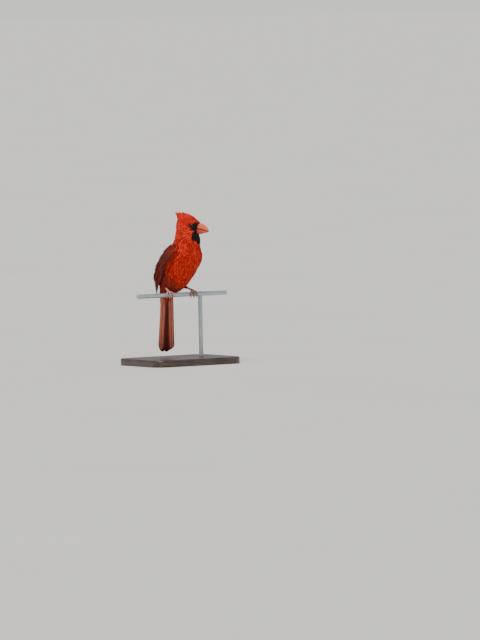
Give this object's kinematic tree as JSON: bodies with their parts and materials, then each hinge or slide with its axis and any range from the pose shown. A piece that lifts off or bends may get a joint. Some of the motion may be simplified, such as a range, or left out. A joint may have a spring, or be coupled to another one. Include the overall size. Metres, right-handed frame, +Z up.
{
  "type": "northern cardinal",
  "caption": "Life-size still model of a crested red songbird gripping a cut length of fence wire, held by a rod on a flat base.",
  "frame": {"origin": "centre of the base's underside", "axes": "+Z up, X along the perch wire with +X on the side of the rod, and the bird's breast towards -Y"},
  "size_m": [0.136, 0.104, 0.2008],
  "materials": {
    "plumage_red": "matte",
    "plumage_mask": "matte",
    "plumage_wing": "matte",
    "plumage_tail": "matte",
    "bill": "satin",
    "eye": "gloss",
    "leg_skin": "satin",
    "claw": "satin",
    "wire": "galvanised",
    "stand_base": "satin lacquer"
  },
  "bodies": {
    "root": {"bill_lower": "bill", "bill_upper": "bill", "claw_left_hallux": "claw", "claw_left_inner": "claw", "claw_left_middle": "claw", "claw_left_outer": "claw", "claw_right_hallux": "claw", "claw_right_inner": "claw", "claw_right_middle": "claw", "claw_right_outer": "claw", "eye_left": "eye", "eye_right": "eye", "face_mask": "plumage_mask", "head": "plumage_red", "leg_left": "leg_skin", "leg_right": "leg_skin", "neck": "plumage_red", "perch_wire": "wire", "stand_base": "stand_base", "stand_rod": "wire", "tail": "plumage_tail", "thigh_left": "plumage_red", "thigh_right": "plumage_red", "torso": "plumage_red", "wing_left": "plumage_wing", "wing_right": "plumage_wing"}
  },
  "joints": []
}
